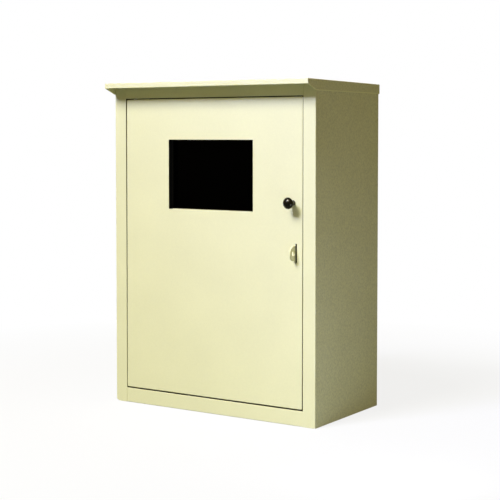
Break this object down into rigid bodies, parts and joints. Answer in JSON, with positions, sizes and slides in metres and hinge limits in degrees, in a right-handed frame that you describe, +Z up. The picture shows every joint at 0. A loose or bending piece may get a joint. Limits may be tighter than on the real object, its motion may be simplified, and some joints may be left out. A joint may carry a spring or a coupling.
{
  "type": "steel enclosure",
  "caption": "Upright sheet-steel cabinet with an overhanging rain hood, a flush hinged door with a recessed dark window, a round knob and a padlock lug through a slot.",
  "frame": {"origin": "centre of the cabinet's underside", "axes": "+X to the right as one faces the door, -Y out of the door, +Z up"},
  "size_m": [0.5042, 0.2979, 0.6882],
  "materials": {
    "painted_sheet": "semi-gloss cream powder coat with fine orange peel",
    "painted_lug": "semi-gloss cream powder coat",
    "plated_steel": "zinc plated",
    "pane": "near-black glossy pane",
    "seal_rubber": "matt black foam rubber",
    "bush_brass": "turned, satin",
    "knob_black": "glossy black moulded",
    "plate_zinc": "galvanised"
  },
  "bodies": {
    "frame": {"body_wrap": "painted_sheet", "bottom_tray": "painted_sheet", "door_seal": "seal_rubber", "gland_gasket": "seal_rubber", "gland_nuts": "plated_steel", "gland_plate": "plate_zinc", "gland_studs": "plated_steel", "hinge_pin_lower": "plated_steel", "hinge_pin_upper": "plated_steel", "hood_nuts": "plated_steel", "hood_spacers": "plated_steel", "hood_studs": "plated_steel", "hood_washers": "plated_steel", "lug_rivets": "plated_steel", "mounting_plate": "plate_zinc", "padlock_lug": "painted_lug", "plate_nuts": "plated_steel", "plate_spacers": "plate_zinc", "plate_studs": "plated_steel", "plate_washers": "plated_steel", "roof_hood": "painted_sheet", "thrust_washer": "bush_brass", "top_panel": "painted_sheet"},
    "door": {"door_pan": "painted_sheet", "hinge_bush_lower": "bush_brass", "hinge_bush_upper": "bush_brass", "knob_collar": "knob_black", "knob_head": "knob_black", "knob_nut": "plated_steel", "knob_stud": "plated_steel", "knob_washer": "plated_steel", "retainer_nuts": "plated_steel", "retainer_studs": "plated_steel", "window_gasket": "seal_rubber", "window_pane": "pane", "window_retainer": "plated_steel"}
  },
  "joints": [
    {"name": "door_hinge", "type": "hinge", "parent": "frame", "child": "door", "pos_m": [-0.1996, -0.12475, 0.342], "axis": [0, 0, -1], "range_deg": [0, 120]}
  ]
}
